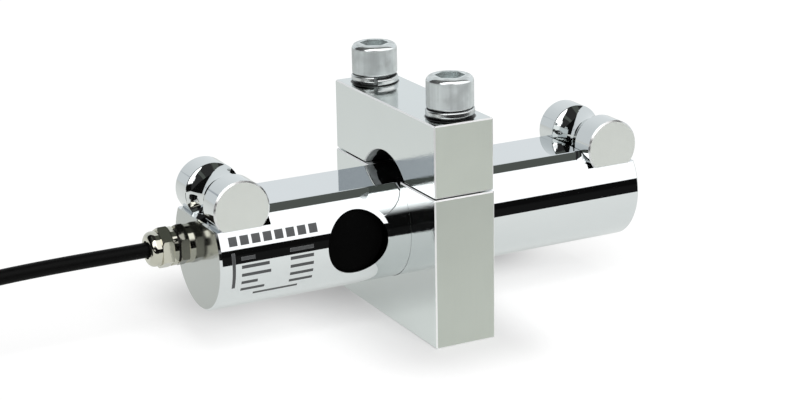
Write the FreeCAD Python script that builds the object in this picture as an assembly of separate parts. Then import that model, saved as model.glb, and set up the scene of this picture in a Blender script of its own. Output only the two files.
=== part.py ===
import FreeCAD, Part
import math
import os

# Clamp-on load cell for a wire rope. A round steel beam lies across a split clamp
# block, and carries a grooved rope saddle on a milled shelf at each end.
# Millimetres. X runs along the beam, away from the cable gland. Y runs across it,
# and the front is -Y. Z is up, and z = 0 is the underside of the clamp block.
# The origin lies under the middle of the beam.

V = FreeCAD.Vector
AXIS_X, AXIS_Y, AXIS_Z = V(1, 0, 0), V(0, 1, 0), V(0, 0, 1)

# ---- Beam ----
beam_diameter = 45.0
beam_length = 181.6
beam_axis_height = 40.5
flat_height = 18.4              # top flat, above the beam's axis
flat_edge_radius = 1.0
end_chamfer = 0.8
shelf_height = 12.3             # saddle shelf, above the beam's axis
shelf_length = 22.0

# ---- Gauge pockets and the wire passage inside the beam ----
pocket_diameter = 25.0
pocket_offset = 35.0            # from the middle of the beam, towards the gland
web_thickness = 5.0             # thin wall left between the two pockets
passage_diameter = 7.0
passage_break_in = 2.5          # how far the passage runs into the back pocket

# ---- Clamp block ----
lower_block_thickness = 25.4
lower_block_width = 83.4
upper_block_setback = 0.2       # of each side, behind the lower block's
split_height = 58.9             # middle of the gap between the two blocks
split_gap = 0.4
upper_block_height = 28.0
block_chamfer = 0.5
bore_clearance = 0.1            # radial, between the beam and the block's bore
arch_width = 34.0               # rope arch in the upper block, where it meets the gap
arch_rise = 8.8
arch_edge_radius = 0.8

# ---- Clamp bolts, M12 socket head, and their spring washers ----
bolt_edge_distance = 10.8       # from a bolt's axis to the side of the lower block
bolt_diameter = 12.0
bolt_length = 60.0
bolt_head_diameter = 18.0
bolt_head_height = 12.0
bolt_head_rounding = 2.2
bolt_underhead_rounding = 0.7
bolt_socket_width = 10.0        # across the flats of the hexagon
bolt_socket_depth = 6.0
bolt_hole_clearance = 0.75      # radial, in the upper block
bolt_hole_spare = 4.0           # thread left below the bolt's tip
thread_clearance = 0.05         # radial, between any screw and its thread
washer_outer_diameter = 18.6
washer_inner_diameter = 12.4
washer_section_height = 2.5
washer_edge_radius = 0.7
washer_rise = 1.2               # how far one end of the split ring stands above the other
washer_split_angle = 9.0
front_washer_split_at = -8.0    # degrees about Z from +X
back_washer_split_at = 246.0

# ---- Rope saddles ----
saddle_diameter = 22.2
saddle_length = 38.2
saddle_seat_drop = 7.2          # the saddle's axis above its flat seat
saddle_groove_width = 17.3
saddle_groove_depth = 3.5
saddle_rim_chamfer = 0.6
saddle_lip_radius = 0.5
saddle_step_clearance = 0.1     # to the wall at the end of the shelf

# ---- Dowel pins that hold each saddle down on its shelf ----
pin_diameter = 5.0
pin_length = 12.0
pin_grip = 7.0                  # length inside the saddle
pin_spacing = 26.0
pin_chamfer = 0.5
pin_hole_clearance = 0.02       # radial
pin_hole_spare = 0.5            # hole left past each end of the pin

# ---- Grub screw that locks the lower block to the beam, M8 ----
grub_diameter = 8.0
grub_length = 12.0
grub_socket_width = 4.0
grub_socket_depth = 4.0
grub_gap = 0.05                 # between its point and the beam

# ---- Cable gland, M12 x 1.5 ----
gland_offset = 11.2             # gland axis behind the beam's axis
gland_thread_diameter = 12.0
gland_thread_length = 7.5       # inside the beam
gland_flange_diameter = 14.8    # round flange against the beam's end
gland_flange_length = 1.1
gland_hex_width = 14.0          # across the flats
gland_hex_length = 3.5
gland_neck_diameter = 12.0
gland_neck_gap = 1.0            # between the body's hexagon and the dome nut
gland_bore_diameter = 6.6
cup_diameter = 9.6              # room for the cage and the seal
dome_nut_length = 10.3
nut_collar_diameter = 14.8      # round collar on the nut, next to the body
nut_collar_length = 1.7
nut_hex_length = 4.4
dome_nut_mouth = 7.0
dome_base_diameter = 13.4
dome_rounding = 2.4
dome_wall_end = 2.0             # thickness of the dome round the cable
neck_inside_nut = 4.0
fit_gap = 0.1                   # radial, between pieces inside the gland
cage_slots = 6
cage_slot_width = 0.8
seal_length = 6.0

# ---- Cable ----
cable_diameter = 5.8
cable_mouth_inset = 0.6         # where the free cable begins, inside the nut's mouth
jacket_inside = 5.0             # length of jacket inside the beam
core_diameter = 0.8
core_spread = 1.6               # spacing of the four cores inside the jacket
core_pitch_at_board = 1.3
core_plane = 9.5                # cores lie this far behind the beam's middle

# ---- Strain gauges, terminal board and potting ----
gauge_size = 8.0
gauge_thickness = 0.4
board_width = 4.0
board_height = 8.0
board_thickness = 1.0
board_offset = 9.0              # its outer edge from the pocket's axis
potting_depth = 15.0            # thickness of the black filling over the web

# ---- Put-away cable: a round coil on the floor, tied in two places ----
coil_centre_x = -224.0
coil_inner_turn_radius = 27.2   # to the middle of the cable
coil_turns_wide = 3
coil_layers = 5
coil_slack = 0.2                # how far the turns stand loosely outside their own line
coil_entry_reach = 22.0         # the cable comes down on the top inner turn over this length
coil_entry_drop = 6.6
coil_exit_length = 30.0         # straight cable where it leaves the bottom outer turn
tie_thickness = 1.2
tie_width = 3.6
tie_gap = 0.15
tie_angles = (0.0, 180.0)       # about the coil's centre, from +X

# ---- Bare end: four insulated strands and the braid's tail ----
strand_diameter = 1.3
strand_square = 1.9             # spacing of the four strands at the jacket
braid_offset = 2.0              # the braid's tail above the cable's middle
strand_length = 30.0
strand_fan = 3.4                # spacing of the strands' tips on the floor

# Values that follow from the sizes above.
axis_z = beam_axis_height
beam_radius = beam_diameter / 2
flat_z = axis_z + flat_height
shelf_z = axis_z + shelf_height
lower_top = split_height - split_gap / 2
upper_bottom = split_height + split_gap / 2
block_top = upper_bottom + upper_block_height
upper_block_thickness = lower_block_thickness - 2 * upper_block_setback
upper_block_width = lower_block_width - 2 * upper_block_setback
bolt_spacing = lower_block_width - 2 * bolt_edge_distance
bore_radius = beam_radius + bore_clearance
washer_height = washer_section_height + washer_rise
pocket_x = -pocket_offset
web_half = web_thickness / 2


def cylinder(radius, length, base, direction):
    return Part.makeCylinder(radius, length, base, direction)


def centred_block(size_x, size_y, bottom, top):
    return Part.makeBox(size_x, size_y, top - bottom, V(-size_x / 2, -size_y / 2, bottom))


def hexagon(width, length, base, direction):
    """A hexagonal prism, width across the flats. Lying, it has a corner on top; standing, in front."""
    across = V(0, 1, 0) if direction.z == 0 and direction.y == 0 else V(1, 0, 0)
    other = direction.cross(across)
    corner = width / math.sqrt(3)
    points = []
    for step in range(7):
        angle = math.radians(60 * step + 30)
        points.append(base + (across * math.cos(angle) + other * math.sin(angle)) * corner)
    return Part.Face(Part.makePolygon(points)).extrude(direction * length)


def revolved(profile, centre, direction):
    """Turn a closed wire about the axis through centre."""
    return Part.Face(profile).revolve(centre, direction, 360)


def circles(shape):
    return [e for e in shape.Edges if e.Curve.TypeId == "Part::GeomCircle"]


def straight_edges(shape, axis):
    """The straight edges that run along an axis."""
    found = []
    for edge in shape.Edges:
        if edge.Curve.TypeId != "Part::GeomLine":
            continue
        run = edge.Vertexes[-1].Point - edge.Vertexes[0].Point
        if run.Length > 0 and abs(run.normalize().dot(axis)) > 0.999:
            found.append(edge)
    return found


def tube_path(points):
    """Straight runs joined by tangent arcs as large as the runs allow, and the radii."""
    pieces, radii, start = [], [], points[0]
    for before, corner, after in zip(points, points[1:], points[2:]):
        run_in, run_out = corner - before, after - corner
        turn = run_in.getAngle(run_out)
        setback = 0.45 * min(run_in.Length, run_out.Length)
        radius = setback / math.tan(turn / 2)
        inward, outward = V(run_in).normalize(), V(run_out).normalize()
        arc_start, arc_end = corner - inward * setback, corner + outward * setback
        to_centre = (outward - inward).normalize()
        middle = corner + to_centre * (radius / math.cos(turn / 2) - radius)
        pieces.append(Part.LineSegment(start, arc_start).toShape())
        pieces.append(Part.Arc(arc_start, middle, arc_end).toShape())
        radii.append(radius)
        start = arc_end
    pieces.append(Part.LineSegment(start, points[-1]).toShape())
    return Part.Wire(pieces), radii


def tube(points, diameter):
    path, radii = tube_path(points)
    heading = points[1] - points[0]
    ring = Part.Wire(Part.Circle(points[0], heading, diameter / 2).toShape())
    return path.makePipeShell([ring], True, False), path.Length, radii


# ---- Screws ----
def socket_screw(diameter, length, head_size, socket_size, top_round, base_round):
    """A socket head screw with its head up and the underside of the head at z = 0."""
    head_diameter, head_height = head_size
    socket_width, socket_depth = socket_size
    tip = 0.08 * diameter
    head = cylinder(head_diameter / 2, head_height, V(), AXIS_Z)
    head = head.makeFillet(top_round, [e for e in circles(head) if e.BoundBox.ZMin > head_height / 2])
    head = head.makeFillet(base_round, [e for e in circles(head) if e.BoundBox.ZMax < head_height / 2])
    shank = cylinder(diameter / 2, length - tip, V(0, 0, tip - length), AXIS_Z)
    point = Part.makeCone(diameter / 2 - tip, diameter / 2, tip, V(0, 0, -length), AXIS_Z)
    socket = hexagon(socket_width, socket_depth, V(0, 0, head_height - socket_depth), AXIS_Z)
    drill_point = Part.makeCone(0, socket_width / 2, 0.2 * socket_width,
                                V(0, 0, head_height - socket_depth - 0.2 * socket_width), AXIS_Z)
    return head.fuse([shank, point]).removeSplitter().cut([socket, drill_point])


def clamp_bolt(side):
    bolt = socket_screw(bolt_diameter, bolt_length, (bolt_head_diameter, bolt_head_height),
                        (bolt_socket_width, bolt_socket_depth), bolt_head_rounding, bolt_underhead_rounding)
    bolt.translate(V(0, side * bolt_spacing / 2, block_top + washer_height))
    return bolt


def grub_screw():
    top = axis_z - beam_radius - grub_gap
    bottom = top - grub_length
    body = cylinder(grub_diameter / 2, grub_length, V(0, 0, bottom), AXIS_Z)
    body = body.makeChamfer(0.1 * grub_diameter, circles(body))
    return body.cut(hexagon(grub_socket_width, grub_socket_depth, V(0, 0, bottom), AXIS_Z))


def washer_section():
    """The section of the ring, with rounded edges, as a closed wire in the XZ plane."""
    inner, outer = washer_inner_diameter / 2, washer_outer_diameter / 2
    bar = Part.makeBox(outer - inner, 1, washer_section_height, V(inner, 0, 0))
    bar = bar.makeFillet(washer_edge_radius, straight_edges(bar, AXIS_Y))
    return [face for face in bar.Faces if face.BoundBox.YMax < 0.01][0].OuterWire


def spring_washer(side, split_at):
    """A split ring that rises from one end to the other, like one turn of square wire."""
    turn = 360 - washer_split_angle
    middle = (washer_outer_diameter + washer_inner_diameter) / 4
    helix = Part.makeHelix(washer_rise * 360 / turn, washer_rise, middle)
    ring = Part.Wire(helix.Edges).makePipeShell([washer_section()], True, True)
    ring.rotate(V(), AXIS_Z, split_at + washer_split_angle / 2)
    ring.translate(V(0, side * bolt_spacing / 2, block_top))
    return ring


# ---- Rope saddles ----
def saddle_x(end):
    return end * (beam_length / 2 - shelf_length + saddle_step_clearance + saddle_diameter / 2)


def pin_foot(end, side):
    return V(saddle_x(end), side * pin_spacing / 2, shelf_z + pin_grip - pin_length)


def saddle_pin(end, side):
    pin = cylinder(pin_diameter / 2, pin_length, pin_foot(end, side), AXIS_Z)
    return pin.makeChamfer(pin_chamfer, circles(pin))


def pin_holes(end):
    """The holes for both pins of one saddle, blind in the beam and in the saddle."""
    spare = AXIS_Z * pin_hole_spare
    return [cylinder(pin_diameter / 2 + pin_hole_clearance, pin_length + 2 * pin_hole_spare,
                     pin_foot(end, side) - spare, AXIS_Z) for side in (-1, 1)]


def saddle(end):
    """A grooved spool lying across the beam, with a flat ground along it for its seat."""
    outer, half = saddle_diameter / 2, saddle_length / 2
    root, lip = outer - saddle_groove_depth, saddle_groove_width / 2
    rim = saddle_rim_chamfer
    x, z = saddle_x(end), shelf_z + saddle_seat_drop

    def at(radius, y):
        return V(x, y, z + radius)

    corners = [at(outer, lip), at(outer, half - rim), at(outer - rim, half), at(0, half),
               at(0, -half), at(outer - rim, -half), at(outer, rim - half), at(outer, -lip)]
    lines = [Part.LineSegment(a, b).toShape() for a, b in zip(corners, corners[1:])]
    groove = Part.Arc(at(outer, -lip), at(root, 0), at(outer, lip)).toShape()
    spool = revolved(Part.Wire(lines + [groove]), V(x, 0, z), AXIS_Y)
    lips = [e for e in circles(spool) if abs(abs(e.Curve.Center.y) - lip) < 0.01]
    spool = spool.makeFillet(saddle_lip_radius, lips)
    below = Part.makeBox(2 * saddle_diameter, 2 * saddle_length, saddle_diameter,
                         V(x - saddle_diameter, -saddle_length, shelf_z - saddle_diameter))
    return spool.cut([below] + pin_holes(end))


# ---- Beam ----
def pocket(side):
    """A round blind pocket from one side of the beam to the web."""
    return cylinder(pocket_diameter / 2, beam_radius, V(pocket_x, side * web_half, axis_z), V(0, side, 0))


def beam():
    half = beam_length / 2
    body = cylinder(beam_radius, beam_length, V(-half, 0, axis_z), AXIS_X)
    body = body.makeChamfer(end_chamfer, circles(body))
    above = Part.makeBox(beam_length, beam_diameter, beam_radius, V(-half, -beam_radius, flat_z))
    body = body.cut(above)
    body = body.makeFillet(flat_edge_radius, [e for e in straight_edges(body, AXIS_X)
                                              if abs(e.BoundBox.ZMax - flat_z) < 0.01])
    for end in (-1, 1):
        corner = V(min(end * half, end * (half - shelf_length)), -beam_radius, shelf_z)
        shelf = Part.makeBox(shelf_length, beam_diameter, beam_radius, corner)
        body = body.cut([shelf] + pin_holes(end))
    thread = cylinder(gland_thread_diameter / 2 + thread_clearance, gland_thread_length + end_chamfer,
                      V(-half, gland_offset, axis_z), AXIS_X)
    passage_end = pocket_x - pocket_diameter / 2 + passage_break_in
    passage = cylinder(passage_diameter / 2, passage_end + half, V(-half, gland_offset, axis_z), AXIS_X)
    return body.cut([pocket(-1), pocket(1), thread, passage])


# ---- Clamp block ----
def lower_block():
    body = centred_block(lower_block_thickness, lower_block_width, 0, lower_top)
    body = body.makeChamfer(block_chamfer, body.Edges)
    length = 2 * lower_block_thickness
    bore = cylinder(bore_radius, length, V(-length / 2, 0, axis_z), AXIS_X)
    foot = block_top + washer_height - bolt_length - bolt_hole_spare
    threads = [cylinder(bolt_diameter / 2 + thread_clearance, lower_top - foot,
                        V(0, side * bolt_spacing / 2, foot), AXIS_Z) for side in (-1, 1)]
    grub_hole = cylinder(grub_diameter / 2 + thread_clearance, axis_z, V(), AXIS_Z)
    return body.cut([bore, grub_hole] + threads)


def arch_radius():
    return (arch_width ** 2 / 4 + arch_rise ** 2) / (2 * arch_rise)


def arch_centre_z():
    return split_height + arch_rise - arch_radius()


def upper_block():
    body = centred_block(upper_block_thickness, upper_block_width, upper_bottom, block_top)
    body = body.makeChamfer(block_chamfer, body.Edges)
    length = 2 * upper_block_thickness
    arch = cylinder(arch_radius(), length, V(-length / 2, 0, arch_centre_z()), AXIS_X)
    radius = bolt_diameter / 2 + bolt_hole_clearance
    holes = [cylinder(radius, upper_block_height, V(0, side * bolt_spacing / 2, upper_bottom), AXIS_Z)
             for side in (-1, 1)]
    body = body.cut([arch] + holes)
    rims = [e for e in circles(body) if abs(e.Curve.Radius - arch_radius()) < 0.01]
    return body.makeFillet(arch_edge_radius, rims)


# ---- Cable gland. Places along it are measured outwards from the beam's end face. ----
gland_hex_start = gland_flange_length
gland_hex_end = gland_hex_start + gland_hex_length
nut_start = gland_hex_end + gland_neck_gap
nut_hex_start = nut_start + nut_collar_length
nut_hex_end = nut_hex_start + nut_hex_length
nut_end = nut_start + dome_nut_length
neck_end = nut_start + neck_inside_nut
cup_floor = neck_end - seal_length
OUTWARD = V(-1, 0, 0)


def gland_point(distance):
    return V(-beam_length / 2 - distance, gland_offset, axis_z)


def gland_cylinder(diameter, start, end):
    return cylinder(diameter / 2, end - start, gland_point(start), OUTWARD)


def bevelled_hexagon(width, start, end):
    """A hexagon whose corners are turned off at both ends."""
    prism = hexagon(width, end - start, gland_point(start), OUTWARD)
    corner, bevel = width / math.sqrt(3), 0.6
    barrel = gland_cylinder(2 * corner, start, end)
    return prism.common(barrel.makeChamfer(bevel, circles(barrel)))


def gland_body():
    thread = gland_cylinder(gland_thread_diameter, -gland_thread_length, 0)
    flange = gland_cylinder(gland_flange_diameter, 0, gland_hex_start)
    neck = gland_cylinder(gland_neck_diameter, gland_hex_end, neck_end)
    body = bevelled_hexagon(gland_hex_width, gland_hex_start, gland_hex_end).fuse([thread, flange, neck])
    bore = gland_cylinder(gland_bore_diameter, -gland_thread_length, neck_end)
    cup = gland_cylinder(cup_diameter, cup_floor, neck_end)
    return body.removeSplitter().cut([bore, cup])


def dome_nut():
    collar = gland_cylinder(nut_collar_diameter, nut_start, nut_hex_start)
    dome = gland_cylinder(dome_base_diameter, nut_hex_end, nut_end)
    far_rim = [e for e in circles(dome) if abs(e.BoundBox.XMin + beam_length / 2 + nut_end) < 0.01]
    dome = dome.makeFillet(dome_rounding, far_rim)
    nut = bevelled_hexagon(gland_hex_width, nut_hex_start, nut_hex_end).fuse([collar, dome]).removeSplitter()
    neck_room = gland_cylinder(gland_neck_diameter + 2 * thread_clearance, nut_start, neck_end)
    cage_room = gland_cylinder(cup_diameter, neck_end, nut_end - dome_wall_end)
    mouth = gland_cylinder(dome_nut_mouth, nut_start, nut_end)
    return nut.cut([neck_room, cage_room, mouth])


def gland_cage():
    """The slotted plastic ring that the dome nut squeezes on the seal."""
    start, end = neck_end, nut_end - dome_wall_end - fit_gap
    ring = gland_cylinder(cup_diameter - 2 * fit_gap, start, end)
    ring = ring.cut(gland_cylinder(cable_diameter + 2 * fit_gap, start, end))
    slots = []
    for number in range(cage_slots):
        slot = Part.makeBox(cage_slot_width, cup_diameter, end - start - 1,
                            V(-cage_slot_width / 2, cable_diameter / 2 - fit_gap, 0))
        slot.rotate(V(), AXIS_Z, 360 * number / cage_slots)
        slot.rotate(V(), AXIS_Y, -90)
        slot.translate(gland_point(start + 1))
        slots.append(slot)
    return ring.cut(slots)


def gland_seal():
    ring = gland_cylinder(cup_diameter - 2 * fit_gap, cup_floor, neck_end)
    return ring.cut(gland_cylinder(cable_diameter, cup_floor, neck_end))


# ---- Cable inside the gland, cores, gauges and potting ----
free_cable_start = nut_end - cable_mouth_inset


def cable_entry():
    return gland_cylinder(cable_diameter, -jacket_inside, free_cable_start)


def board_edge_x():
    return pocket_x - board_offset


def signal_cores():
    """Four insulated cores from the end of the jacket to the edge of the terminal board."""
    cores = []
    start_x = -beam_length / 2 + jacket_inside
    edge_x = board_edge_x()
    run = edge_x - start_x
    for number in range(4):
        y = gland_offset + core_spread / 2 * (1 if number % 2 else -1)
        z = axis_z + core_spread / 2 * (1 if number > 1 else -1)
        z_end = axis_z + (number - 1.5) * core_pitch_at_board
        points = [V(start_x, y, z), V(start_x + 0.2 * run, y, z),
                  V(start_x + 0.6 * run, core_plane, z_end), V(edge_x, core_plane, z_end)]
        cores.append(tube(points, core_diameter)[0])
    return Part.makeCompound(cores)


def terminal_board():
    return Part.makeBox(board_width, board_thickness, board_height,
                        V(board_edge_x(), core_plane - board_thickness / 2, axis_z - board_height / 2))


def strain_gauge(side):
    low = web_half if side > 0 else -web_half - gauge_thickness
    return Part.makeBox(gauge_size, gauge_thickness, gauge_size,
                        V(pocket_x - gauge_size / 2, low, axis_z - gauge_size / 2))


def potting(side):
    """Filling cast into a pocket, round everything that lies on the web."""
    plug = cylinder(pocket_diameter / 2, potting_depth, V(pocket_x, side * web_half, axis_z), V(0, side, 0))
    inside = [strain_gauge(side)]
    if side > 0:
        inside += [terminal_board()] + signal_cores().Solids
    return plug.cut(inside)


# ---- Free cable ----
cable_radius = cable_diameter / 2
coil_outer_turn_radius = coil_inner_turn_radius + (coil_turns_wide - 1) * cable_diameter
tie_inset = cable_radius + coil_slack + tie_gap
low_turn_z = tie_thickness + tie_inset
high_turn_z = low_turn_z + (coil_layers - 1) * cable_diameter
lead_end_y = 12.0
coil_centre = V(coil_centre_x, lead_end_y + coil_inner_turn_radius, 0)
lead_end = V(coil_centre_x + coil_entry_reach, lead_end_y, high_turn_z + coil_entry_drop)
entry_slope = V(-coil_entry_reach, 0, -coil_entry_drop)

# Level out of the gland, then bowing down over the outer turns to the coil's top inner turn.
lead_points = [
    gland_point(free_cable_start),
    V(-121.0, gland_offset, axis_z),
    V(-137.0, 11.5, 40.4),
    V(-152.0, 12.0, 40.0),
    V(-166.0, 12.5, 39.3),
    V(-180.0, 12.4, 38.0),
    lead_end - entry_slope * 0.43,
    lead_end,
]


def cable_lead():
    solid, length, radii = tube(lead_points, cable_diameter)
    section = math.pi * cable_radius ** 2
    print("cable lead: length %.1f, volume ratio %.4f" % (length, solid.Volume / (section * length)))
    print("cable lead radii:", " ".join("%.0f" % radius for radius in radii))
    return solid


def cable_coil():
    """The outer shape of the wound cable, with the short lengths where it comes in and leaves."""
    half = cable_radius + coil_slack
    bottom, height = low_turn_z - half, high_turn_z - low_turn_z + 2 * half
    ring = cylinder(coil_outer_turn_radius + half, height, V(0, 0, bottom), AXIS_Z)
    ring = ring.cut(cylinder(coil_inner_turn_radius - half, height, V(0, 0, bottom), AXIS_Z))
    ring = ring.makeFillet(0.95 * half, circles(ring))
    entry = cylinder(cable_radius, entry_slope.Length, lead_end - coil_centre, entry_slope)
    leaving = cylinder(cable_radius, coil_exit_length, V(0, coil_outer_turn_radius, low_turn_z), AXIS_X)
    coil = ring.fuse([entry, leaving])
    coil.translate(coil_centre)
    return coil


def cable_tie(angle):
    """A flat strap drawn round all the turns."""
    low_inner = V(coil_inner_turn_radius, 0, low_turn_z)
    low_outer = V(coil_outer_turn_radius, 0, low_turn_z)
    rise = V(0, 0, high_turn_z - low_turn_z)
    hull = Part.Face(Part.makePolygon([low_inner, low_outer, low_outer + rise, low_inner + rise, low_inner]))
    inside = hull.makeOffset2D(tie_inset)
    outside = hull.makeOffset2D(tie_inset + tie_thickness)
    strap = outside.extrude(V(0, tie_width, 0)).cut(inside.extrude(V(0, tie_width, 0)))
    strap.translate(V(0, -tie_width / 2, 0))
    strap.rotate(V(), AXIS_Z, angle)
    strap.translate(coil_centre)
    return strap.Solids[0]


def strand(across, up, tip_across):
    """One strand from the end of the jacket down to the floor."""
    start = coil_centre + V(coil_exit_length, coil_outer_turn_radius + across, low_turn_z + up)
    floor = strand_diameter / 2 + 0.05
    tip = V(start.x + strand_length, start.y - across + tip_across, floor)
    bend = V(start.x + 0.6 * strand_length, (start.y + tip.y) / 2, floor + 0.2 * (low_turn_z + up))
    return tube([start, start + AXIS_X * (0.2 * strand_length), bend, tip], strand_diameter)[0]


def strands():
    """Every strand by name: four cores in a square, and the braid's tail above them."""
    half = strand_square / 2
    places = {"red": (-half, half, -2), "black": (-half, -half, -1), "braid": (0.0, braid_offset, 0),
              "green": (half, -half, 1), "white": (half, half, 2)}
    return {name: strand(across, up, place * strand_fan) for name, (across, up, place) in places.items()}


os.makedirs("parts", exist_ok=True)
parts = {
    "beam_body": beam(),
    "lower_clamp_block": lower_block(),
    "upper_clamp_block": upper_block(),
    "front_clamp_bolt": clamp_bolt(-1),
    "back_clamp_bolt": clamp_bolt(1),
    "front_spring_washer": spring_washer(-1, front_washer_split_at),
    "back_spring_washer": spring_washer(1, back_washer_split_at),
    "block_grub_screw": grub_screw(),
    "gland_body": gland_body(),
    "gland_seal": gland_seal(),
    "gland_cage": gland_cage(),
    "gland_dome_nut": dome_nut(),
    "cable_entry": cable_entry(),
    "signal_cores": signal_cores(),
    "terminal_board": terminal_board(),
    "cable_lead": cable_lead(),
    "cable_coil": cable_coil(),
}
for end_name, end in (("left", -1), ("right", 1)):
    parts[end_name + "_rope_saddle"] = saddle(end)
    for side_name, side in (("front", -1), ("back", 1)):
        parts["%s_%s_saddle_pin" % (end_name, side_name)] = saddle_pin(end, side)
for side_name, side in (("front", -1), ("back", 1)):
    parts[side_name + "_strain_gauge"] = strain_gauge(side)
    parts[side_name + "_potting"] = potting(side)

for number, angle in enumerate(tie_angles, 1):
    parts["cable_tie_%d" % number] = cable_tie(angle)
for colour, shape in strands().items():
    parts["strand_" + colour] = shape

for name, shape in parts.items():
    shape.exportStep("parts/%s.step" % name)
    box = shape.BoundBox
    print("%-26s solids %d valid %s volume %9.1f  x %.1f..%.1f y %.1f..%.1f z %.1f..%.1f" % (
        name, len(shape.Solids), shape.isValid(), shape.Volume,
        box.XMin, box.XMax, box.YMin, box.YMax, box.ZMin, box.ZMax))
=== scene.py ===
import math

import bpy
from mathutils import Matrix, Vector


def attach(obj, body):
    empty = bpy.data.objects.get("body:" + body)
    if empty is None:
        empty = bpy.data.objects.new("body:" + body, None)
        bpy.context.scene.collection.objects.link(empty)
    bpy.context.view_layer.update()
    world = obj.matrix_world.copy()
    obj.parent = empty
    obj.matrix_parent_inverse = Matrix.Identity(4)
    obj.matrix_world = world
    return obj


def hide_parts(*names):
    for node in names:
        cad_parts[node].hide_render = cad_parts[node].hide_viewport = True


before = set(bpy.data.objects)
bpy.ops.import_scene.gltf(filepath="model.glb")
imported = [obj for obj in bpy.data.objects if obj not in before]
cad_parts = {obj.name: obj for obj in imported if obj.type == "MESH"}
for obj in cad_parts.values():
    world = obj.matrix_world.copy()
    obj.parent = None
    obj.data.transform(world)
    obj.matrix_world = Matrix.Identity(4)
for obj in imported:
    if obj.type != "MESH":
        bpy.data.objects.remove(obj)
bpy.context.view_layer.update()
scene = bpy.context.scene
MM = 0.001
DEGREE = math.radians(1)


# ---- Camera ----
camera_azimuth = math.radians(-27.24)
camera_elevation = math.radians(17.51)
camera_roll = math.radians(-1.07)
camera_lens = 91.13             # millimetres, for a picture 36 mm wide
camera_distance = 0.7924
camera_target = Vector((-0.0038, 0.0037, 0.0455))
camera_back = Vector((math.sin(camera_azimuth) * math.cos(camera_elevation),
                      -math.cos(camera_azimuth) * math.cos(camera_elevation),
                      math.sin(camera_elevation)))


def make_camera():
    """The camera looks down on the front left of the part, from its cable end."""
    data = bpy.data.cameras.new("camera")
    data.sensor_width, data.lens = 36.0, camera_lens
    data.clip_start, data.clip_end = 0.01, 20.0
    camera = bpy.data.objects.new("camera", data)
    scene.collection.objects.link(camera)
    camera.location = camera_target + camera_back * camera_distance
    camera.rotation_mode = "QUATERNION"
    roll = Matrix.Rotation(camera_roll, 3, "Z").to_quaternion()
    camera.rotation_quaternion = (-camera_back).to_track_quat("-Z", "Y") @ roll
    scene.camera = camera


make_camera()

# ---- Beam, with its gauge pockets ----
beam_axis_z = 40.5 * MM
pocket_x = -35 * MM
pocket_radius = 12.5 * MM
pocket_shade_radius = pocket_radius + 0.02 * MM     # so that the painted black shade takes in the pocket's wall

# ---- Plain marks on the beam's round side, by the gland ----
# A field runs from left to right in millimetres along X, and from low to high in degrees about the beam.
blocks_field = (-86.6, -50.3, 18.5, 27.5)
left_column_field = (-82.5, -60, -31.4, 10.1)
right_column_field = (-63, -53.5, -31.4, 10.1)
lowest_line_field = (-77, -59, -36.8, -33.8)
upright_line_field = (-86.2, -84.9, -24, 12)
blocks_start = -87 * MM
block_pitch = 4.6 * MM
rows_start = -31.4 * DEGREE     # the rows of bars in both columns
row_pitch = 8.3 * DEGREE
left_column_end = -77 * MM      # where the shortest bar of the left column ends
left_column_uneven = 7 * MM     # the others are longer by up to this much
mark_edge = 0.12 * MM
mark_edge_turned = 0.3 * DEGREE

# ---- Rope saddles, and the arch of the upper block ----
saddle_half_length = 19.1 * MM
saddle_chamfer_reach = 1.2 * MM     # from the saddle's end to just past its chamfer
split_z = 58.9 * MM
arch_rise = 8.8 * MM
arch_half_width = 17 * MM
# Painted shade fills the arch between these heights, with a pale rim of painted reflection at the back of
# its left mouth.
arch_shade_bottom = split_z - 1 * MM
arch_shade_top = split_z + arch_rise + 0.3 * MM
arch_rim_width = 0.9 * MM
arch_rim_ragged = 4 * MM        # its edge wanders by up to this much
arch_rim_front = 4 * MM
passage_half_length = 11.9 * MM

# ---- Bolts on the upper block ----
block_top = 87.1 * MM
bolt_y_from_middle = 30.9 * MM
washer_radius = 9.3 * MM
washer_ring = 0.6 * MM          # the painted shade ring on the block fades out this far past the washer
socket_reach = 5.85 * MM        # from the bolt's axis to just past the socket's corners

# ---- Cable gland ----
gland_y = 11.2 * MM
gland_gap_left = -96.6 * MM     # the gap between the nut's collar and the body's hexagon
gland_gap_right = -95.4 * MM
gland_flange_end = -92 * MM
gland_neck_reach = 6.3 * MM     # from the gland's axis to just past the neck in that gap

# ---- Floor ----
floor_half_size = 3.0
floor_gap = 0.05 * MM           # from the part's underside down to the floor
foot_half_thickness = 12 * MM   # the block's foot, which the floor's shade goes round
foot_half_width = 42 * MM
foot_shade_reach = 42 * MM
foot_shade_squeeze = 1.4        # on the right the shade is narrower by this factor
beam_shade_in = (12 * MM, 52 * MM)      # the shade under the beam comes in over this range of Y
beam_shade_out = (58 * MM, 105 * MM)    # and goes out over this one
beam_shade_left = -80 * MM
beam_shade_right = 74 * MM
beam_shade_edge = 34 * MM
floor_dark_before = -149 * MM   # polished faces see a dark floor in front of this line
floor_dark_left = -125 * MM     # which comes nearer on the left of the next one
floor_turn = -75 * MM
floor_turn_reach = 10 * MM      # it does so over this much to either side
floor_tone = 0.42               # as the camera sees it, with its own light added
floor_bounce = 0.9              # as it throws light back onto the part

# ---- Cable ----
cable_diameter = 5.8 * MM
coil_centre_x = -224 * MM
coil_inner_turn = 27.2 * MM
coil_turns_wide = 3
coil_layers = 5
low_turn_z = 4.45 * MM
high_turn_z = low_turn_z + (coil_layers - 1) * cable_diameter
lead_end_y = 12 * MM
coil_centre_y = lead_end_y + coil_inner_turn
coil_turns = 13.5
coil_points_per_turn = 20
coil_exit_length = 30 * MM
first_shift_turn = 0.75         # where the first turn starts to move over to the next place
shift_room = 0.14               # a turn clears its place this much before the next one comes in
shift_turns = 0.22              # a shift from one place to the next takes this much of a turn

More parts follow.
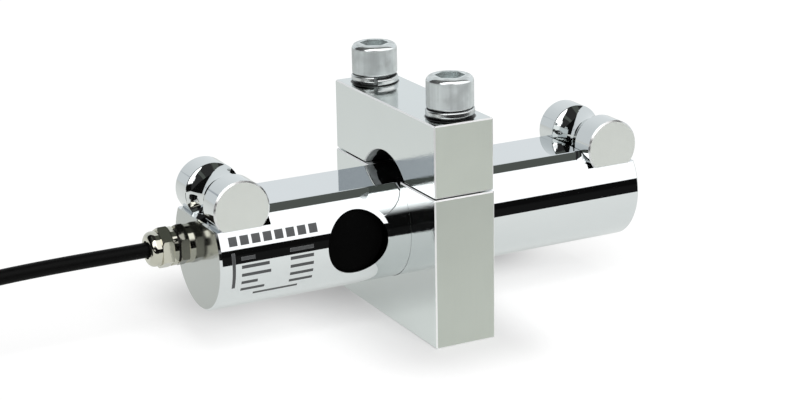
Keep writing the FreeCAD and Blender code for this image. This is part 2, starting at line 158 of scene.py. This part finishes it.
# Level out of the gland, then bowing down over the outer turns to the coil's top inner turn.
lead_points = [
    Vector(point) * MM for point in [
        (-106.1, 11.2, 40.5),
        (-121.0, 11.2, 40.5),
        (-137.0, 11.5, 40.4),
        (-152.0, 12.0, 40.0),
        (-166.0, 12.5, 39.3),
        (-180.0, 12.4, 38.0),
        (-192.5, 12.0, 37.1),
        (-202.0, 12.0, 34.25),
        (-210.0, 12.6, 32.0),
        (-217.5, 12.3, 29.2),
    ]
]


def coil_places():
    """The radius and height of every turn in order, from the top inner turn to the bottom outer one."""
    places = []
    for layer in range(coil_layers):
        radii = [coil_inner_turn + k * cable_diameter for k in range(coil_turns_wide)]
        if layer % 2:
            radii.reverse()
        places += [(radius, high_turn_z - layer * cable_diameter) for radius in radii]
    return places


def shift_starts():
    """At how many turns each place is left for the next one. A step down leaves room for its neighbours."""
    starts = [first_shift_turn]
    for k in range(1, coil_layers * coil_turns_wide - 1):
        steps_down = k % coil_turns_wide in (0, coil_turns_wide - 1)
        starts.append(starts[-1] + 1 - (shift_room if steps_down else 0))
    return starts


def coil_line():
    """The points of the coil's turns, wound clockwise seen from above."""
    places, starts = coil_places(), shift_starts()
    # The curve runs through the middles between its points, so these lie a little outside the turn.
    spread = 1 / math.cos(math.pi / coil_points_per_turn)
    line = []
    for step in range(round(coil_turns * coil_points_per_turn) + 1):
        turned = step / coil_points_per_turn
        radius, height = places[0]
        for start, here, there in zip(starts, places, places[1:]):
            done = (turned - start + (shift_turns - shift_room) / 2) / shift_turns
            done = min(max(done, 0), 1)
            eased = done * done * (3 - 2 * done)
            radius += eased * (there[0] - here[0])
            height += eased * (there[1] - here[1])
        angle = -math.pi / 2 - 2 * math.pi * turned
        line.append(Vector((coil_centre_x + spread * radius * math.cos(angle),
                            coil_centre_y + spread * radius * math.sin(angle), height)))
    return line


def make_cable():
    """The whole cable: out of the gland, down through the coil's turns, and out below to its bare end."""
    line = lead_points + coil_line()
    ending = Vector((coil_centre_x, line[-1].y, low_turn_z))
    line += [ending + Vector((share * coil_exit_length, 0, 0)) for share in (0.35, 0.7, 1.0)]
    data = bpy.data.curves.new("signal_cable", "CURVE")
    data.dimensions = "3D"
    data.bevel_depth = 1.0
    data.bevel_resolution = 6
    data.resolution_u = 6
    data.use_fill_caps = True
    spline = data.splines.new("NURBS")
    spline.points.add(len(line) - 1)
    for point, place in zip(spline.points, line):
        point.co = (*place, 1)
        point.radius = cable_diameter / 2
    spline.order_u = 3
    spline.use_endpoint_u = True
    cable = bpy.data.objects.new("signal_cable", data)
    scene.collection.objects.link(cable)
    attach(cable, "root")
    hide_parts("cable_lead", "cable_coil")
    on_cable = ["cable_tie_1", "cable_tie_2"]
    on_cable += ["strand_" + colour for colour in ("red", "black", "braid", "green", "white")]
    return cable


cable = make_cable()


# ---- Shader helpers ----
def node(tree, kind, inputs=None, **settings):
    """A node with its settings. Each of the inputs is set to a value, or linked to an output."""
    made = tree.nodes.new(kind)
    for name, value in settings.items():
        setattr(made, name, value)
    for name, value in (inputs or {}).items():
        if isinstance(value, bpy.types.NodeSocket):
            tree.links.new(value, made.inputs[name])
        else:
            made.inputs[name].default_value = value
    return made


def calc(tree, operation, first, second=0.0, third=0.0):
    """The output of a Math node."""
    return node(tree, "ShaderNodeMath", {0: first, 1: second, 2: third}, operation=operation).outputs[0]


def both(tree, *factors):
    """The product of several factors."""
    product = factors[0]
    for factor in factors[1:]:
        product = calc(tree, "MULTIPLY", product, factor)
    return product


def blend(tree, factor, first, second):
    """The output of a colour Mix node."""
    return node(tree, "ShaderNodeMix", {0: factor, 6: first, 7: second}, data_type="RGBA").outputs[2]


def mix(tree, factor, first, second):
    """The output of a value Mix node."""
    return node(tree, "ShaderNodeMix", {0: factor, 2: first, 3: second}).outputs[0]


def between(tree, value, low, high, first, second):
    """The value carried from one range to another, smoothly and held at its ends."""
    return node(tree, "ShaderNodeMapRange", {0: value, 1: low, 2: high, 3: first, 4: second},
                interpolation_type="SMOOTHSTEP").outputs[0]


def within(tree, value, low, high, edge):
    """1 from low to high, and 0 outside, with soft edges as wide as given."""
    half = edge / 2
    return both(tree, between(tree, value, low - half, low + half, 0, 1),
                between(tree, value, high - half, high + half, 1, 0))


def grey(level, tint=(1, 1, 1)):
    """A level of grey with a slight tint, as a colour."""
    return tuple(level * part for part in tint) + (1,)


def new_material(name):
    """A material with one Principled shader, its tree, that shader, and the place on the part in metres."""
    made = bpy.data.materials.new(name)
    made.use_nodes = True
    tree = made.node_tree
    tree.nodes.clear()
    shader = node(tree, "ShaderNodeBsdfPrincipled")
    node(tree, "ShaderNodeOutputMaterial", {"Surface": shader.outputs[0]})
    place = node(tree, "ShaderNodeTexCoord").outputs["Object"]
    return made, tree, shader, place


def noise(tree, place, scale, detail, stretch=(1, 1, 1)):
    """The level of a Noise node, from 0 to 1. The stretch scales each axis apart."""
    mapped = node(tree, "ShaderNodeMapping", {"Vector": place, "Scale": stretch}).outputs[0]
    return node(tree, "ShaderNodeTexNoise", {"Vector": mapped, "Scale": scale, "Detail": detail}).outputs[0]


def bump(tree, height, distance, strength=1.0):
    """The normal of a surface raised by up to the distance, in metres, where the height is 1."""
    return node(tree, "ShaderNodeBump", {"Height": height, "Distance": distance,
                                         "Strength": strength}).outputs[0]


def link(tree, output, shader, name):
    """Link an output to a shader's input."""
    tree.links.new(output, shader.inputs[name])


def facing(tree, axis):
    """How squarely the surface faces along an axis, either way, from 0 to 1."""
    normal = node(tree, "ShaderNodeNewGeometry").outputs["True Normal"]
    parts = node(tree, "ShaderNodeSeparateXYZ", {0: normal}).outputs
    return calc(tree, "ABSOLUTE", parts["XYZ".index(axis)])


def square_to(tree, axis):
    """1 on the flat faces square to an axis."""
    return between(tree, facing(tree, axis), 0.9, 0.98, 0, 1)


def chamfers(tree, axis):
    """1 on the chamfers at the ends along an axis."""
    return within(tree, facing(tree, axis), 0.6, 0.8, 0.02)


def slant(tree, first, second):
    """The length of a line that runs this far along one axis and that far along another."""
    squares = [calc(tree, "MULTIPLY", run, run) for run in (first, second)]
    return calc(tree, "SQRT", calc(tree, "ADD", *squares))


def from_line(tree, first, second, first_centre, second_centre):
    """The distance from a line that runs along the third axis."""
    return slant(tree, calc(tree, "SUBTRACT", first, first_centre),
                 calc(tree, "SUBTRACT", second, second_centre))


def turned_about_x(tree, y, z):
    """The angle about X from the front, over the top to the back."""
    return calc(tree, "ARCTAN2", z, calc(tree, "MULTIPLY", y, -1.0))


# ---- Finishes ----
class Finish:
    """The colour, roughness and metal share of a material, built up layer by layer."""

    def __init__(self, name, metal):
        self.made, self.tree, self.shader, self.place = new_material(name)
        self.colour, self.roughness, self.metal = None, None, metal
        parts = node(self.tree, "ShaderNodeSeparateXYZ", {0: self.place}).outputs
        self.x, self.y, self.z = parts[0], parts[1], parts[2]

    def over(self, mask, colour, roughness, metal):
        """Lay another finish over this one where the mask is 1."""
        self.colour = blend(self.tree, mask, self.colour, colour)
        self.roughness = mix(self.tree, mask, self.roughness, roughness)
        self.metal = mix(self.tree, mask, self.metal, metal)

    def done(self):
        """Join what was built up to the shader, and give the material."""
        inputs = {"Base Color": self.colour, "Roughness": self.roughness, "Metallic": self.metal}
        for name, value in inputs.items():
            if isinstance(value, bpy.types.NodeSocket):
                link(self.tree, value, self.shader, name)
            else:
                self.shader.inputs[name].default_value = value
        return self.made


def plated(name, colour, polish, ripple_size, ripple):
    """Bright plating, with a slight waviness from the turned or ground steel below it."""
    finish = Finish(name, 1.0)
    tree = finish.tree
    cloud = noise(tree, finish.place, 35, 3)
    finish.roughness = between(tree, cloud, 0.3, 0.7, polish * 0.7, polish * 1.3)
    finish.colour = blend(tree, cloud, grey(0.97, colour), grey(1.02, colour))
    link(tree, bump(tree, noise(tree, finish.place, 1 / ripple_size, 1), ripple), finish.shader, "Normal")
    return finish


def ground_faces(finish, axis, colour):
    """Satin ground faces square to an axis."""
    tree = finish.tree
    grain = noise(tree, finish.place, 900, 3, (1, 1, 0.1))
    cloud = noise(tree, finish.place, 60, 3)
    finish.over(square_to(tree, axis), blend(tree, cloud, grey(0.96, colour), grey(1.04, colour)),
                between(tree, grain, 0.3, 0.7, 0.42, 0.5), 0.3)


def print_marks(finish):
    """1 on the plain marks: a row of blocks, and below it two columns of bars and two lines."""
    tree, x = finish.tree, finish.x
    turned = turned_about_x(tree, finish.y, calc(tree, "SUBTRACT", finish.z, beam_axis_z))

    def field(left, right, low, high):
        """1 on a field of the round side."""
        return both(tree, within(tree, x, left * MM, right * MM, mark_edge),
                    within(tree, turned, low * DEGREE, high * DEGREE, mark_edge_turned))

    def share(value, start, pitch):
        """How many pitches a value lies past the start."""
        return calc(tree, "DIVIDE", calc(tree, "SUBTRACT", value, start), pitch)

    block = calc(tree, "FRACT", share(x, blocks_start, block_pitch))
    blocks = both(tree, field(*blocks_field), within(tree, block, 0.06, 0.8, 0.03))
    row = share(turned, rows_start, row_pitch)
    bar = within(tree, calc(tree, "FRACT", row), 0.3, 0.7, 0.04)
    uneven = node(tree, "ShaderNodeTexWhiteNoise", {"W": calc(tree, "FLOOR", row)},
                  noise_dimensions="1D").outputs[0]
    bar_end = calc(tree, "MULTIPLY_ADD", uneven, left_column_uneven, left_column_end)
    left_column = both(tree, field(*left_column_field), calc(tree, "LESS_THAN", x, bar_end))
    bars = both(tree, bar, calc(tree, "MAXIMUM", left_column, field(*right_column_field)))
    marks = blocks
    for mark in (bars, field(*lowest_line_field), field(*upright_line_field)):
        marks = calc(tree, "MAXIMUM", marks, mark)
    return marks


def beam_chrome():
    """Plated steel, with painted black shade on the pockets' walls and small fields of dark print by the
    gland.
    """
    finish = plated("beam_chrome", (0.72, 0.74, 0.75), 0.03, 3 * MM, 0.0016 * MM)
    tree = finish.tree
    end_faces = between(tree, facing(tree, "X"), 0.95, 0.99, 0, 1)
    finish.over(end_faces, grey(0.48, (0.97, 1, 0.97)), 0.13, 1.0)
    finish.over(both(tree, print_marks(finish), 0.97), grey(0.04, (0.95, 1, 1.05)), 0.45, 0.1)
    from_pocket = from_line(tree, finish.x, finish.z, pocket_x, beam_axis_z)
    # Painted shade: the pockets' walls are black, as a recess in shade.
    finish.over(calc(tree, "LESS_THAN", from_pocket, pocket_shade_radius), grey(0.002), 0.35, 1.0)
    return finish.done()


def saddle_chrome():
    """Plated steel with satin end faces, and duller plate on the chamfers round them."""
    finish = plated("saddle_chrome", (0.70, 0.72, 0.72), 0.035, 3 * MM, 0.0016 * MM)
    ground_faces(finish, "Y", (0.615, 0.64, 0.605))
    tree = finish.tree
    at_end = calc(tree, "GREATER_THAN", calc(tree, "ABSOLUTE", finish.y),
                  saddle_half_length - saddle_chamfer_reach)
    finish.over(both(tree, chamfers(tree, "Y"), at_end), grey(0.7), 0.2, 0.9)
    return finish.done()


def block_plate():
    """Plated steel. The front and back are satin, with painted shade below the split, and the chamfers have
    a painted highlight.
    """
    finish = plated("block_plate", (0.69, 0.72, 0.715), 0.05, 0.5 * MM, 0.02 * MM)
    ground_faces(finish, "Y", (0.49, 0.525, 0.475))
    tree, x, y, z = finish.tree, finish.x, finish.y, finish.z
    # Painted shade: the front and back below the split are darkened by 13 %.
    low = both(tree, calc(tree, "LESS_THAN", z, split_z), square_to(tree, "Y"), 0.13)
    finish.colour = blend(tree, low, finish.colour, grey(0))
    # Painted highlight: the chamfers are lighter than the plate.
    for axis in "XY":
        finish.over(chamfers(tree, axis), grey(0.85), 0.3, 0.5)
    for bolt_y in (-bolt_y_from_middle, bolt_y_from_middle):
        from_bolt = from_line(tree, x, y, 0.0, bolt_y)
        on_top = calc(tree, "GREATER_THAN", z, block_top - 0.1 * MM)
        # Painted shade: a dark ring on the block's top under and round each washer.
        washer_shade = both(tree, on_top,
                            between(tree, from_bolt, washer_radius, washer_radius + washer_ring, 1, 0))
        finish.over(washer_shade, grey(0.01), 0.4, 0.5)
    painted_arch_shade(finish)
    return finish.done()


def painted_arch_shade(finish):
    """Painted shade in the rope arch, with a pale ragged rim of painted reflection at the back of its left
    mouth.
    """
    tree, x, y = finish.tree, finish.x, finish.y
    in_arch = both(tree, calc(tree, "LESS_THAN", calc(tree, "ABSOLUTE", x), passage_half_length),
                   calc(tree, "LESS_THAN", calc(tree, "ABSOLUTE", y), arch_half_width),
                   within(tree, finish.z, arch_shade_bottom, arch_shade_top, 0.1 * MM))
    # Painted shade inside the arch.
    finish.over(in_arch, grey(0.012), 0.4, 0.5)
    # Painted reflection: a pale ragged rim at the back of the left mouth.
    ragged = calc(tree, "MULTIPLY_ADD", noise(tree, finish.place, 260, 2), -arch_rim_ragged, x)
    rim = both(tree, in_arch, calc(tree, "LESS_THAN", ragged, -passage_half_length + arch_rim_width),
               calc(tree, "GREATER_THAN", y, arch_rim_front))
    finish.over(rim, grey(0.5, (0.95, 1, 1)), 0.5, 0.0)


def bolt_zinc():
    """Satin zinc plate with fine streaks down the sides, polished with a painted highlight on the rounded
    rim, and painted light in the socket.
    """
    finish = Finish("bolt_zinc", 0.35)
    tree = finish.tree
    cloud = noise(tree, finish.place, 160, 4)
    streaks = noise(tree, finish.place, 420, 2, (1, 1, 0.04))
    lit = between(tree, both(tree, cloud, streaks), 0.12, 0.36, 0, 1)
    zinc = (0.54, 0.58, 0.58)
    finish.colour = blend(tree, lit, grey(0.82, zinc), grey(1.12, zinc))
    finish.roughness = between(tree, cloud, 0.25, 0.75, 0.28, 0.36)
    # The rounded rim is more polished, and painted lighter as a highlight.
    finish.over(within(tree, facing(tree, "Z"), 0.25, 0.85, 0.15), grey(0.72, (0.96, 1, 1)), 0.13, 0.9)
    # Painted light: the socket's walls are lighter than the plate.
    across = calc(tree, "SUBTRACT", calc(tree, "ABSOLUTE", finish.y), bolt_y_from_middle)
    in_socket = calc(tree, "LESS_THAN", slant(tree, finish.x, across), socket_reach)
    finish.over(in_socket, grey(0.74, (0.94, 1, 1)), 0.26, 0.85)
    grain = noise(tree, finish.place, 900, 3, (1, 1, 0.06))
    link(tree, bump(tree, grain, 0.015 * MM, 0.5), finish.shader, "Normal")
    return finish.done()


def washer_zinc():
    """Zinc plate, with painted shade on its flat faces above and below."""
    finish = plated("washer_zinc", (0.66, 0.68, 0.68), 0.26, 1.5 * MM, 0.008 * MM)
    # Painted shade on the washer's flat faces.
    finish.over(square_to(finish.tree, "Z"), grey(0.01), 0.5, 0.3)
    return finish.done()


def pin_steel():
    """Ground steel of the hidden dowel pins."""
    return plated("pin_steel", (0.55, 0.55, 0.56), 0.3, 1.5 * MM, 0.004 * MM).done()


def black_screw():
    """Black oxide on the grub screw below."""
    finish = Finish("black_screw", 0.7)
    cloud = noise(finish.tree, finish.place, 250, 4)
    finish.colour = blend(finish.tree, cloud, grey(0.015), grey(0.03))
    finish.roughness = between(finish.tree, cloud, 0.3, 0.7, 0.35, 0.5)
    return finish.done()


def nickel_brass():
    """Warm nickel plate, with painted shade on the gland's body hexagon and flange, and painted black shade
    in the gap beside the nut.
    """
    finish = plated("nickel_brass", (0.58, 0.565, 0.49), 0.08, 1.6 * MM, 0.005 * MM)
    tree, x = finish.tree, finish.x
    # Painted shade: the body's hexagon and flange are darker.
    hexagon = within(tree, x, gland_gap_right, gland_flange_end, 0.1 * MM)
    finish.over(hexagon, grey(0.22, (1.0, 0.98, 0.84)), 0.1, 1.0)
    # Painted shade: black in the gap beside the nut.
    from_axis = from_line(tree, finish.y, finish.z, gland_y, beam_axis_z)
    gap = both(tree, within(tree, x, gland_gap_left, gland_gap_right, 0.05 * MM),
               calc(tree, "LESS_THAN", from_axis, gland_neck_reach))
    finish.over(gap, grey(0.008), 0.4, 0.5)
    return finish.done()


def braid_copper():
    """The fine wires of the braid's tail, in slanting bands."""
    finish = Finish("braid_copper", 1.0)
    tree = finish.tree
    wires = node(tree, "ShaderNodeTexWave", {"Vector": finish.place, "Scale": 900.0, "Distortion": 2.0},
                 bands_direction="DIAGONAL").outputs["Fac"]
    finish.colour = blend(tree, wires, (0.45, 0.36, 0.30, 1), (0.85, 0.78, 0.72, 1))
    finish.roughness = 0.3
    link(tree, bump(tree, wires, 0.1 * MM), finish.shader, "Normal")
    return finish.done()


def plastic(name, dark, light, roughness, grain_size, grain_depth):
    """Moulded or extruded plastic with a fine surface grain, whose size and depth are in millimetres."""
    finish = Finish(name, 0.0)
    tree = finish.tree
    cloud = noise(tree, finish.place, 1 / (6 * grain_size * MM), 3)
    finish.colour = blend(tree, cloud, dark, light)
    finish.roughness = between(tree, cloud, 0.3, 0.7, roughness * 0.85, roughness * 1.15)
    grain = noise(tree, finish.place, 1 / (grain_size * MM), 2)
    link(tree, bump(tree, grain, grain_depth * MM), finish.shader, "Normal")
    return finish.done()


# Each plastic's darker and lighter tone, its roughness, and the size and depth of its grain.
plastics = {
    "seal_rubber": (grey(0.010), grey(0.02), 0.6, 0.3, 0.02),
    "cage_plastic": (grey(0.02), grey(0.03), 0.45, 0.3, 0.01),
    "cable_jacket": (grey(0.002), grey(0.004), 0.42, 0.5, 0.03),
    "tie_plastic": (grey(0.012), grey(0.03), 0.4, 0.4, 0.02),
    "core_plastic": ((0.55, 0.52, 0.48, 1), (0.65, 0.62, 0.58, 1), 0.5, 0.2, 0.01),
    "board_laminate": ((0.03, 0.16, 0.06, 1), (0.05, 0.22, 0.09, 1), 0.4, 0.2, 0.01),
    "gauge_foil": ((0.55, 0.32, 0.10, 1), (0.70, 0.42, 0.15, 1), 0.35, 0.2, 0.01),
    "potting_black": (grey(0.001), grey(0.002), 0.5, 2, 0.02),
    "strand_red": ((0.50, 0.02, 0.02, 1), (0.60, 0.04, 0.03, 1), 0.45, 0.3, 0.01),
    "strand_black": (grey(0.012), grey(0.025), 0.45, 0.3, 0.01),
    "strand_green": ((0.02, 0.26, 0.06, 1), (0.04, 0.33, 0.09, 1), 0.45, 0.3, 0.01),
    "strand_white": ((0.74, 0.74, 0.72, 1), (0.82, 0.82, 0.80, 1), 0.45, 0.3, 0.01),
}
finishes = {
    "beam_chrome": beam_chrome(),
    "saddle_chrome": saddle_chrome(),
    "block_plate": block_plate(),
    "bolt_zinc": bolt_zinc(),
    "washer_zinc": washer_zinc(),
    "pin_steel": pin_steel(),
    "black_screw": black_screw(),
    "nickel_brass": nickel_brass(),
    "braid_copper": braid_copper(),
}
for name, looks in plastics.items():
    finishes[name] = plastic(name, *looks)
# Two of them are so black that they hardly shine.
for name, level in (("potting_black", 0.02), ("cable_jacket", 0.05)):
    finishes[name].node_tree.nodes["Principled BSDF"].inputs["Specular IOR Level"].default_value = level
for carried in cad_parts.values():
    for material_slot in carried.material_slots:
        material_slot.material = finishes[material_slot.material.name]
cable.data.materials.append(finishes["cable_jacket"])


# ---- Studio ----
# The room is laid out by two numbers. One is the climb, an angle about X: 0 degrees at the horizon in
# front, 90 overhead and 180 at the horizon behind. The other is the lean along X, from -1 on the left to 1.
# A pale wall fills a wide cone about this direction, whose soft edge lies between these two cosines.
wall_direction = (0.51, 0.86, -0.06)
wall_edge = (0.365, 0.39)
fill_level = 0.56               # plain light from all round, which mirrors don't show


def glossy_surroundings(tree):
    """What the polished faces mirror: a softbox in front over a dark horizon, and a pale wall behind."""
    towards = node(tree, "ShaderNodeTexCoord").outputs["Generated"]
    parts = node(tree, "ShaderNodeSeparateXYZ", {0: towards}).outputs
    lean, y, z = parts[0], parts[1], parts[2]
    climb = turned_about_x(tree, y, z)

    def band(low, high, edge):
        """1 over a range of climb, in degrees."""
        return within(tree, climb, low * DEGREE, high * DEGREE, edge * DEGREE)

    # The ceiling is nearly black, and dark grey in the two places that the edge of the beam's flat mirrors.
    seen_from_edge = calc(tree, "ADD", within(tree, lean, 0.3, 0.6, 0.06),
                          within(tree, lean, -0.52, -0.34, 0.03))
    ceiling = blend(tree, seen_from_edge, grey(0.035), grey(0.105, (0.95, 1.05, 0.95)))
    colour = blend(tree, band(70, 116, 1.0), grey(0.005), ceiling)

    # The softbox reaches lower, with a sharper and lower edge, towards the right.
    low_edge = between(tree, lean, -0.42, 0.3, 35 * DEGREE, 10.5 * DEGREE)
    low_blur = between(tree, lean, -0.42, 0.3, 12 * DEGREE, 0.4 * DEGREE)
    high_edge = between(tree, lean, -0.3, 0.1, 74 * DEGREE, 70.5 * DEGREE)
    high_blur = 0.4 * DEGREE
    softbox = both(tree, between(tree, climb, calc(tree, "SUBTRACT", low_edge, low_blur),
                                 calc(tree, "ADD", low_edge, low_blur), 0, 1),
                   between(tree, climb, calc(tree, "SUBTRACT", high_edge, high_blur),
                           calc(tree, "ADD", high_edge, high_blur), 1, 0),
                   between(tree, lean, -0.93, -0.88, 0, 1))
    level = between(tree, lean, -0.1, 0.14, 2.6, 1.5)
    softbox_light = node(tree, "ShaderNodeCombineXYZ", {0: level, 1: level, 2: level}).outputs[0]
    colour = blend(tree, softbox, colour, softbox_light)

    # Two smaller lights far on the left, high and low.
    high_light = both(tree, band(60, 80, 3.0), within(tree, lean, -0.84, -0.7, 0.03))
    colour = blend(tree, high_light, colour, grey(1.5))
    low_light = both(tree, band(-20, 11, 0.8), within(tree, lean, -0.93, -0.55, 0.03))
    colour = blend(tree, low_light, colour, grey(0.85))

    # The wall, duller on the left, with a grey screen on it that the beam's flat mirrors beside the block.
    wall = blend(tree, between(tree, lean, -0.5, 0.3, 0, 1), (0.74, 0.78, 0.80, 1), (0.87, 0.91, 0.93, 1))
    screen = both(tree, band(158, 164.5, 1.0), within(tree, lean, -0.47, -0.36, 0.02))
    wall = blend(tree, screen, wall, grey(0.5, (0.93, 1.0, 1.08)))
    behind = node(tree, "ShaderNodeVectorMath", {0: towards, 1: wall_direction},
                  operation="DOT_PRODUCT").outputs[1]
    return blend(tree, between(tree, behind, *wall_edge, 0, 1), colour, wall)


def make_world():
    """The mirrored surroundings for glossy rays, white for the camera, and plain grey light otherwise."""
    world = bpy.data.worlds.new("studio")
    scene.world = world
    world.use_nodes = True
    tree = world.node_tree
    tree.nodes.clear()
    rays = node(tree, "ShaderNodeLightPath").outputs
    colour = blend(tree, rays["Is Glossy Ray"], grey(fill_level), glossy_surroundings(tree))
    colour = blend(tree, rays["Is Camera Ray"], colour, grey(1))
    background = node(tree, "ShaderNodeBackground", {"Color": colour, "Strength": 1.0})
    node(tree, "ShaderNodeOutputWorld", {"Surface": background.outputs[0]})


def floor_clear_of_shade(tree, x, y):
    """How much of the floor's own light is left, less round the block's foot and under the beam."""
    def past(value, edge):
        """How far a value lies past the edge, or 0."""
        return calc(tree, "MAXIMUM", calc(tree, "SUBTRACT", value, edge), 0)

    left_gap = past(calc(tree, "MULTIPLY", x, -1.0), foot_half_thickness)
    right_gap = calc(tree, "MULTIPLY", past(x, foot_half_thickness), foot_shade_squeeze)
    depth_gap = past(calc(tree, "ABSOLUTE", y), foot_half_width)
    gap = slant(tree, calc(tree, "ADD", left_gap, right_gap), depth_gap)
    by_block = between(tree, gap, 0, foot_shade_reach, 0.4, 0)
    deeper_to_the_right = between(tree, x, -20 * MM, 45 * MM, 0.48, 0.7)
    under_beam = both(tree, between(tree, y, *beam_shade_in, 0, 1), deeper_to_the_right,
                      between(tree, y, *beam_shade_out, 1, 0),
                      within(tree, x, beam_shade_left, beam_shade_right, beam_shade_edge))
    return both(tree, calc(tree, "SUBTRACT", 1, by_block), calc(tree, "SUBTRACT", 1, under_beam))


def floor_material():
    """White to the camera. Polished faces see a pale floor, with a dark one in front of a line on it."""
    made = bpy.data.materials.new("floor")
    made.use_nodes = True
    tree = made.node_tree
    tree.nodes.clear()
    rays = node(tree, "ShaderNodeLightPath").outputs
    place = node(tree, "ShaderNodeTexCoord").outputs["Object"]
    parts = node(tree, "ShaderNodeSeparateXYZ", {0: place}).outputs
    x, y = parts[0], parts[1]

    plain = blend(tree, rays["Is Camera Ray"], grey(floor_bounce), grey(floor_tone))
    matt = node(tree, "ShaderNodeBsdfDiffuse", {"Color": plain}).outputs[0]
    away = node(tree, "ShaderNodeVectorMath", {0: place}, operation="LENGTH").outputs[1]
    own_light = both(tree, rays["Is Camera Ray"], between(tree, away, 0.1, 0.5, 0.64, 0.75),
                     floor_clear_of_shade(tree, x, y))
    lift = node(tree, "ShaderNodeEmission", {"Color": grey(1), "Strength": own_light}).outputs[0]
    seen = node(tree, "ShaderNodeAddShader", {0: matt, 1: lift}).outputs[0]

    line = between(tree, x, floor_turn - floor_turn_reach, floor_turn + floor_turn_reach,
                   floor_dark_left, floor_dark_before)
    dark = calc(tree, "LESS_THAN", y, line)
    mirrored = blend(tree, dark, grey(1, (0.945, 0.97, 0.95)), grey(0.01))
    halved = blend(tree, 0.5, grey(0), mirrored)
    half_matt = node(tree, "ShaderNodeBsdfDiffuse", {"Color": halved}).outputs[0]
    half_lift = node(tree, "ShaderNodeEmission", {"Color": mirrored, "Strength": 0.45}).outputs[0]
    in_mirror = node(tree, "ShaderNodeAddShader", {0: half_matt, 1: half_lift}).outputs[0]
    mirrored_or_seen = {0: rays["Is Glossy Ray"], 1: seen, 2: in_mirror}
    surface = node(tree, "ShaderNodeMixShader", mirrored_or_seen).outputs[0]
    node(tree, "ShaderNodeOutputMaterial", {"Surface": surface})
    return made


def make_floor():
    """A wide floor just below the part."""
    near, far = -floor_half_size, floor_half_size
    corners = [(near, near, 0), (far, near, 0), (far, far, 0), (near, far, 0)]
    mesh = bpy.data.meshes.new("floor")
    mesh.from_pydata(corners, [], [(0, 1, 2, 3)])
    mesh.materials.append(floor_material())
    floor = bpy.data.objects.new("floor", mesh)
    floor.location.z = -floor_gap
    scene.collection.objects.link(floor)


def make_light(name, place, size, power):
    """A soft square lamp that points at the part's origin and shows in no mirror."""
    data = bpy.data.lights.new(name, "AREA")
    data.size, data.energy = size, power
    light = bpy.data.objects.new(name, data)
    scene.collection.objects.link(light)
    light.location = place
    light.rotation_mode = "QUATERNION"
    light.rotation_quaternion = (-Vector(place)).to_track_quat("-Z", "Y")
    light.visible_glossy = False


make_world()
make_floor()
make_light("front_lamp", place=(-0.1, -0.8, 0.85), size=0.6, power=9.0)

scene.view_settings.view_transform = "Standard"
